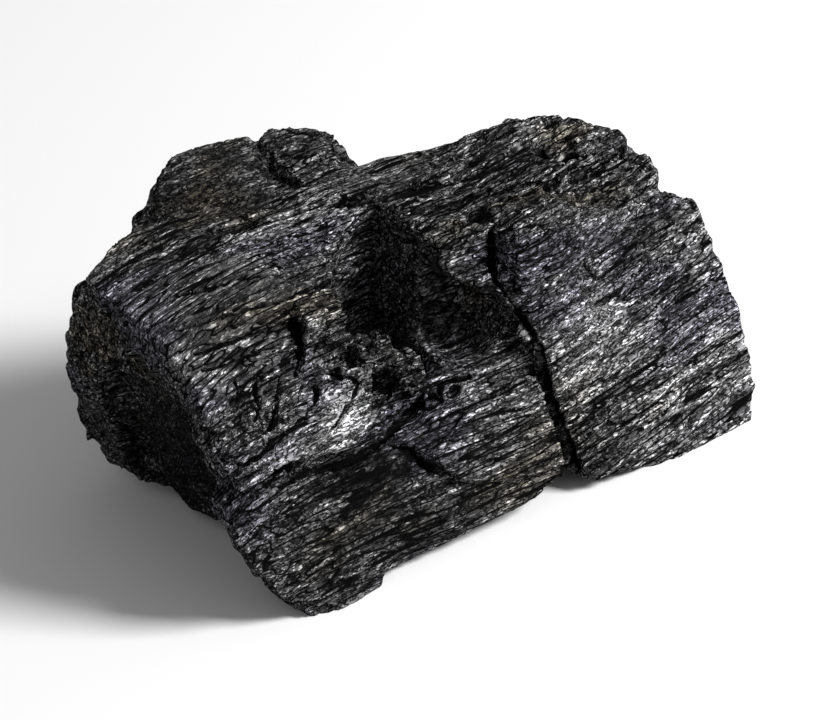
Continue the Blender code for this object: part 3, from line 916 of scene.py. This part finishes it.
def carve_form(item, sizes):
    """Carves the broad relief into the skin."""
    mesh = item.data
    places = read_points(mesh.vertices, "co")
    normals = read_points(mesh.vertex_normals, "vector")
    write_points(mesh, places + normals * broad_relief(places / MM, sizes)[:, None] * MM)


def carve_grain(item, sizes):
    """Carves the fine relief into the skin, and notes how high and how shut in each point is."""
    mesh = item.data
    places = read_points(mesh.vertices, "co")
    normals = read_points(mesh.vertex_normals, "vector")
    relief, crest, shut = fine_relief(places / MM, normals, sizes)
    write_points(mesh, places + normals * relief[:, None] * MM)
    for name, share in ((CREST, crest), (SHUT, shut)):
        mesh.attributes.new(name, "FLOAT", "POINT").data.foreach_set("value", share.astype(np.float32))


def thin_out(item, triangles):
    """Fewer faces where the surface is plain."""
    fewer = item.modifiers.new("fewer", "DECIMATE")
    mesh = item.data
    mesh.calc_loop_triangles()
    fewer.ratio = min(1.0, triangles / len(mesh.loop_triangles))
    apply_modifiers(item)


def flatten_foot(item):
    """Cuts the low points off at the ground and closes the cuts."""
    shape = bmesh.new()
    shape.from_mesh(item.data)
    cut = bmesh.ops.bisect_plane(
        shape, geom=[*shape.verts, *shape.edges, *shape.faces], plane_co=(0, 0, 0),
        plane_no=(0, 0, -1), clear_outer=True,
    )
    rim = [part for part in cut["geom_cut"] if isinstance(part, bmesh.types.BMEdge)]
    closed = bmesh.ops.holes_fill(shape, edges=rim, sides=0)
    bmesh.ops.triangulate(shape, faces=closed["faces"])
    shape.to_mesh(item.data)
    shape.free()


def fit_to_solid(item):
    """Puts the skin over the solid that it stands for, and draws its ends to the solid's own box."""
    mesh = item.data
    places = read_points(mesh.vertices, "co") + ZERO_POINT * MM
    for axis, (solid_low, solid_high) in enumerate(zip(*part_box(NODE))):
        low, high = places[:, axis].min(), places[:, axis].max()
        inner = [low + FITTED_END, high - FITTED_END]
        places[:, axis] = np.interp(places[:, axis], [low, *inner, high], [solid_low, *inner, solid_high])
    write_points(mesh, places)


class Signal:
    """An output in a material, which arithmetic adds Math nodes to."""

    def __init__(self, finish, socket):
        self.finish = finish
        self.socket = socket

    def __add__(self, other):
        return self.finish.maths("ADD", self, other)

    __radd__ = __add__

    def __sub__(self, other):
        return self.finish.maths("SUBTRACT", self, other)

    def __rsub__(self, other):
        return self.finish.maths("SUBTRACT", other, self)

    def __mul__(self, other):
        return self.finish.maths("MULTIPLY", self, other)

    __rmul__ = __mul__

    def __pow__(self, other):
        return self.finish.maths("POWER", self, other)


class Finish:
    """A material that is built from nodes."""

    def __init__(self, name):
        self.material = bpy.data.materials.new(name)
        self.material.use_nodes = True
        self.tree = self.material.node_tree
        self.shader = self.tree.nodes["Principled BSDF"]

    def node(self, kind, settings, sockets, output=0):
        """A node of this type, with its settings made first and then its sockets set or linked."""
        made = self.tree.nodes.new(kind)
        for name, value in settings.items():
            setattr(made, name, value)
        self.feed(made.inputs, sockets)
        return Signal(self, made.outputs[output])

    def feed(self, inputs, values):
        """Links each of these inputs to a signal, or sets it to a value."""
        for name, value in values.items():
            if isinstance(value, Signal):
                self.tree.links.new(value.socket, inputs[name])
            else:
                inputs[name].default_value = value

    def maths(self, operation, first, second):
        """A Math node on two numbers or signals."""
        return self.node("ShaderNodeMath", {"operation": operation}, {0: first, 1: second})

    def vector_maths(self, operation, first, second, third=(0, 0, 0)):
        """A Vector Math node on two or three vectors or signals."""
        return self.node("ShaderNodeVectorMath", {"operation": operation}, {0: first, 1: second, 2: third})

    def stretched(self, places, size):
        """Places counted in cells of this size, in millimetres."""
        return self.vector_maths("MULTIPLY", places, [1 / length for length in size])

    def moved(self, places, shift):
        """Places shifted by this much on each axis."""
        return self.vector_maths("ADD", places, (shift, shift, shift))

    def speckle(self, places, size, detail, shift):
        """Noise with cells of this size, in millimetres, from 0 to 1."""
        cells = self.moved(self.stretched(places, size), shift)
        return self.node(
            "ShaderNodeTexNoise", {}, {"Vector": cells, "Scale": 1.0, "Detail": detail, "Roughness": 0.55},
        )

    def levels(self, signal, low, high):
        """The signal spread from 0 at the low level to 1 at the high one."""
        return self.node(
            "ShaderNodeMapRange", {"interpolation_type": "SMOOTHSTEP"},
            {"Value": signal, "From Min": low, "From Max": high},
        )

    def seams(self, places, size, width, detail, shift):
        """Thin lines between cells of this size: 0 along each line, and 1 beside it."""
        wave = self.speckle(places, size, detail, shift)
        return self.levels(self.maths("ABSOLUTE", wave - 0.5, 0.0), 0.3 * width, width)

    def blend(self, share, first, second):
        """A colour between two."""
        pair = [value if isinstance(value, Signal) else (*value, 1.0) for value in (first, second)]
        return self.node(
            "ShaderNodeMix", {"data_type": "RGBA"},
            {MIX_SHARE: share, MIX_FIRST: pair[0], MIX_SECOND: pair[1]}, MIX_COLOUR,
        )


def grain_frame(finish):
    """The places on the lump in millimetres, in a frame whose X follows the grain, and as they are."""
    places = finish.node("ShaderNodeTexCoord", {}, {}, "Object")
    straight = finish.vector_maths("MULTIPLY_ADD", places, (1 / MM, 1 / MM, 1 / MM), -ZERO_POINT)
    parts = [finish.node("ShaderNodeSeparateXYZ", {}, {0: straight}, axis) for axis in "XYZ"]
    rise = SLAB_RISE * finish.maths("MAXIMUM", parts[0] - CRACK_X, 0.0)
    bend = LEFT_BEND * finish.maths("MAXIMUM", BEND_START - parts[0], 0.0) ** 2.0
    grain = finish.node("ShaderNodeCombineXYZ", {}, {0: parts[0], 1: parts[1] + bend, 2: parts[2] - rise})
    return grain, straight


def painted_sheen_colour(finish, straight, rough_places, colours):
    """The colour of the painted sheen on the silvery parts, which is browner in some patches and bluer in
    others.
    """
    tint = finish.speckle(straight, (34.0, 18.0, 18.0), detail=2.0, shift=23.0)
    tint = tint + 0.3 * belonging(finish, rough_places, *BROWN_RIM)
    warm = finish.blend(finish.levels(tint, 0.52, 0.7), colours.painted_sheen, colours.warm)
    return finish.blend(finish.levels(tint, 0.48, 0.32), warm, colours.cool)


def painted_relief_light(finish, grain):
    """How much light the carved relief lets each place have, as painted light and shade: most on crests, none
    deep in a crack.
    """
    # Painted light on crests and sharp edges, and painted shade in grooves and hollows.
    edge = finish.levels(finish.node("ShaderNodeNewGeometry", {}, {}, "Pointiness"), 0.42, 0.58)
    crest = finish.node("ShaderNodeAttribute", {"attribute_name": CREST}, {}, "Fac")
    shut = finish.node("ShaderNodeAttribute", {"attribute_name": SHUT}, {}, "Fac")
    # Painted shade in the cracks and dents, darkest where they are most shut in.
    dark = finish.levels(shut, 0.12, 0.42)
    patches = finish.levels(finish.speckle(grain, (20.0, 11.0, 11.0), detail=2.0, shift=13.0), 0.35, 0.65)
    return crest * (0.5 + 0.8 * edge) * (0.7 + 0.3 * patches) * (1 - 0.93 * dark)


def charcoal_finish(colours):
    """Charred wood: near black, with a painted silvery sheen on the strands between thin dark furrows, and
    small painted highlights on them.
    """
    finish = Finish("charcoal_finish")
    grain, straight = grain_frame(finish)
    rough_places = frayed(finish, straight)
    calm = zone_share(finish, rough_places, CALM_ZONES)
    sooty = zone_share(finish, straight, SOOTY_ZONES)
    broken = 0.92 - 0.45 * belonging(finish, rough_places, *COMBED_ZONE)
    furrow_gaps = finish.seams(grain, (38.0, 1.5, 1.5), 0.06, detail=0.5, shift=31.0) + calm
    hairlines = finish.seams(grain, (24.0, 0.85, 0.85), 0.07, detail=0.5, shift=61.0)
    squiggles = finish.seams(grain, (1.9, 0.75, 0.75), 0.08, detail=2.5, shift=41.0)
    strands = finish.levels(finish.speckle(grain, (16.0, 1.1, 1.1), detail=1.0, shift=4.0), 0.38, 0.6)
    # Bright specks painted into the colour as highlights on the fibres; they also raise the bump.
    painted_glints = finish.levels(finish.speckle(grain, (1.6, 0.45, 0.45), detail=1.0, shift=9.0), 0.54, 0.68)
    lines = finish.maths("MINIMUM", furrow_gaps, 1.0) * (1 - broken + broken * squiggles)
    lines = lines * (0.45 + 0.55 * hairlines)
    body = 0.42 * (0.5 + 0.5 * strands + 0.2 * calm) + 1.7 * painted_glints * (0.4 + 0.6 * strands)
    # Painted sheen, with painted light and shade zone by zone.
    sheen_and_shade = sheen_and_shade_share(finish, rough_places)
    share = finish.maths("MINIMUM", lines * body * painted_relief_light(finish, grain) * sheen_and_shade, 1.0)
    # Near black, blended towards the painted sheen.
    colour = finish.blend(share, colours.deep, painted_sheen_colour(finish, straight, rough_places, colours))
    height = 0.4 * furrow_gaps + 0.2 * hairlines + 0.25 * squiggles + 0.2 * strands + 0.2 * painted_glints
    height = height * (1 - 0.85 * sooty)
    normal = finish.node(
        "ShaderNodeBump", {}, {"Height": height, "Distance": colours.fibre_bump, "Strength": 1.0},
    )
    finish.feed(finish.shader.inputs, {
        "Base Color": colour, "Roughness": 0.85 - 0.35 * share, "Specular IOR Level": 0.04,
        "Coat Weight": finish.maths("MINIMUM", 1.2 * share, 1.0), "Coat Roughness": 0.3, "Normal": normal,
    })
    return finish.material


def belonging(finish, places, middle, reach):
    """How much each place belongs to a rounded zone, from 0 outside to 1 within."""
    apart = finish.stretched(finish.vector_maths("SUBTRACT", places, middle), reach)
    far = finish.node("ShaderNodeVectorMath", {"operation": "LENGTH"}, {0: apart}, "Value")
    return finish.levels(far, 1.0, 0.35)


def frayed(finish, places):
    """The places, pushed about so that a zone's border follows the fibres."""
    cells = finish.stretched(places, (11.0, 4.0, 4.0))
    push = finish.node("ShaderNodeTexNoise", {}, {"Vector": cells, "Scale": 1.0, "Detail": 4.0}, "Color")
    reach = (FRAYING, FRAYING, FRAYING)
    return finish.vector_maths("MULTIPLY_ADD", push, reach, finish.moved(places, -0.5 * FRAYING))


def sheen_and_shade_share(finish, places):
    """How much painted sheen, light and shade each part of the lump has: most on the slab, least in the
    hollows.
    """
    share = PLAIN_SHEEN
    for middle, reach, gain in SHEEN_AND_SHADE_ZONES:
        share = share + gain * belonging(finish, places, middle, reach)
    return finish.maths("MAXIMUM", share, LEAST_SHEEN)


def zone_share(finish, places, zones):
    """How much each place belongs to any of these zones."""
    share = 0.0
    for middle, reach in zones:
        share = share + belonging(finish, places, middle, reach)
    return finish.maths("MINIMUM", share, 1.0)


def floor_finish(colour):
    """A plain matt floor."""
    finish = Finish("floor_finish")
    finish.feed(finish.shader.inputs, {"Base Color": (*colour, 1.0), "Roughness": 0.9})
    return finish.material


def shade_smooth(mesh):
    """Shades the faces softly into each other."""
    mesh.polygons.foreach_set("use_smooth", [True] * len(mesh.polygons))
    mesh.update()


def directions(azimuth, elevation):
    """The ways back to the camera, to its right and up."""
    level = math.cos(elevation)
    back = Vector((math.sin(azimuth) * level, -math.cos(azimuth) * level, math.sin(elevation)))
    right = Vector((math.cos(azimuth), math.sin(azimuth), 0))
    return back, right, back.cross(right)


def middle_of_view(azimuth, elevation):
    """The point that lies in the middle of the lump's outline, as the camera sees it."""
    places = [point.co for point in frame["nodes"][NODE].data.vertices]
    target = Vector((0, 0, 0))
    for way in directions(azimuth, elevation)[1:]:
        along = [place.dot(way) for place in places]
        target += way * (min(along) + max(along)) / 2
    return target


def add_floor(colour):
    """A wide round floor at the lump's feet."""
    shape = bmesh.new()
    bmesh.ops.create_circle(shape, cap_ends=True, segments=96, radius=FLOOR_RADIUS)
    floor = shaped_object("floor", shape)
    floor.data.materials.append(floor_finish(colour))
    floor.location.z = CAD_LOW.z - FLOOR_GAP


def add_softbox(name, place, size, power):
    """A square lamp that faces the lump."""
    lamp = bpy.data.lights.new(name, "AREA")
    lamp.size = size
    lamp.energy = power
    item = new_object(name, lamp)
    item.location = place
    item.rotation_euler = (-Vector(place)).to_track_quat("-Z", "Y").to_euler()


def add_camera(studio):
    """The camera at the photograph's viewing angle."""
    camera = new_object("camera", bpy.data.cameras.new("camera"))
    back = directions(studio.azimuth, studio.elevation)[0]
    camera.location = middle_of_view(studio.azimuth, studio.elevation) + back * studio.distance
    camera.rotation_euler = (-back).to_track_quat("-Z", "Y").to_euler()
    camera.data.sensor_width = 36.0
    camera.data.lens = camera.data.sensor_width * studio.distance / studio.view_width
    camera.data.clip_end = 20.0
    bpy.context.scene.camera = camera


def add_sky(strength):
    """Even pale light from all round."""
    world = bpy.data.worlds.new("sky")
    world.use_nodes = True
    background = world.node_tree.nodes["Background"]
    background.inputs["Color"].default_value = (1.0, 1.0, 1.0, 1.0)
    background.inputs["Strength"].default_value = strength
    bpy.context.scene.world = world


class CHARCOAL_OT_lump(bpy.types.Operator):
    """Builds the lump's fine skin over its solid"""

    bl_idname = "charcoal.lump"
    bl_label = "Build the lump"

    def execute(self, context):
        sizes = context.scene.charcoal_sizes
        coarse = 1.0
        lump = rough_form()
        remesh(lump, sizes.rough_skin * coarse)
        carve_form(lump, sizes)
        remesh(lump, sizes.fine_skin * coarse)
        carve_grain(lump, sizes)
        thin_out(lump, sizes.triangles)
        flatten_foot(lump)
        fit_to_solid(lump)
        shade_smooth(lump.data)
        lump.data.materials.clear()
        lump.data.materials.append(charcoal_finish(context.scene.charcoal_colours))
        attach(lump, "root")
        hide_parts(NODE)
        return {"FINISHED"}


class CHARCOAL_OT_studio(bpy.types.Operator):
    """Builds the floor, the lights and the camera"""

    bl_idname = "charcoal.studio"
    bl_label = "Build the studio"

    def execute(self, context):
        studio = context.scene.charcoal_studio
        add_floor(studio.floor_colour)
        add_softbox("key_light", KEY_PLACE, KEY_WIDTH, studio.key_power)
        add_softbox("fill_light", FILL_PLACE, FILL_WIDTH, studio.fill_power)
        add_sky(studio.sky_strength)
        add_camera(studio)
        context.scene.view_settings.view_transform = "Standard"
        return {"FINISHED"}


class CHARCOAL_PT_panel(bpy.types.Panel):
    """Lists the steps that build the lump"""

    bl_label = "Charcoal lump"
    bl_idname = "CHARCOAL_PT_panel"
    bl_space_type = "VIEW_3D"
    bl_region_type = "UI"
    bl_category = "Charcoal"

    def draw(self, context):
        for operator in (CHARCOAL_OT_lump, CHARCOAL_OT_studio):
            self.layout.operator(operator.bl_idname)
        for settings in ("charcoal_sizes", "charcoal_colours", "charcoal_studio"):
            group = getattr(context.scene, settings)
            for name in group.__annotations__:
                self.layout.prop(group, name)


CLASSES = (
    LumpSizes, CharcoalColours, StudioSettings, CHARCOAL_OT_lump, CHARCOAL_OT_studio, CHARCOAL_PT_panel,
)


def register():
    for made in CLASSES:
        bpy.utils.register_class(made)
    bpy.types.Scene.charcoal_sizes = PointerProperty(type=LumpSizes)
    bpy.types.Scene.charcoal_colours = PointerProperty(type=CharcoalColours)
    bpy.types.Scene.charcoal_studio = PointerProperty(type=StudioSettings)


def unregister():
    del bpy.types.Scene.charcoal_studio
    del bpy.types.Scene.charcoal_colours
    del bpy.types.Scene.charcoal_sizes
    for made in reversed(CLASSES):
        bpy.utils.unregister_class(made)


def clear_startup_objects():
    """Removes what was in the scene before the frame."""
    kept = {*frame["nodes"].values(), *frame["bodies"].values()}
    for item in list(bpy.data.objects):
        if item not in kept:
            bpy.data.objects.remove(item)


def main():
    register()
    clear_startup_objects()
    bpy.ops.charcoal.lump()
    bpy.ops.charcoal.studio()
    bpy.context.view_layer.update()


if __name__ == "__main__":
    main()
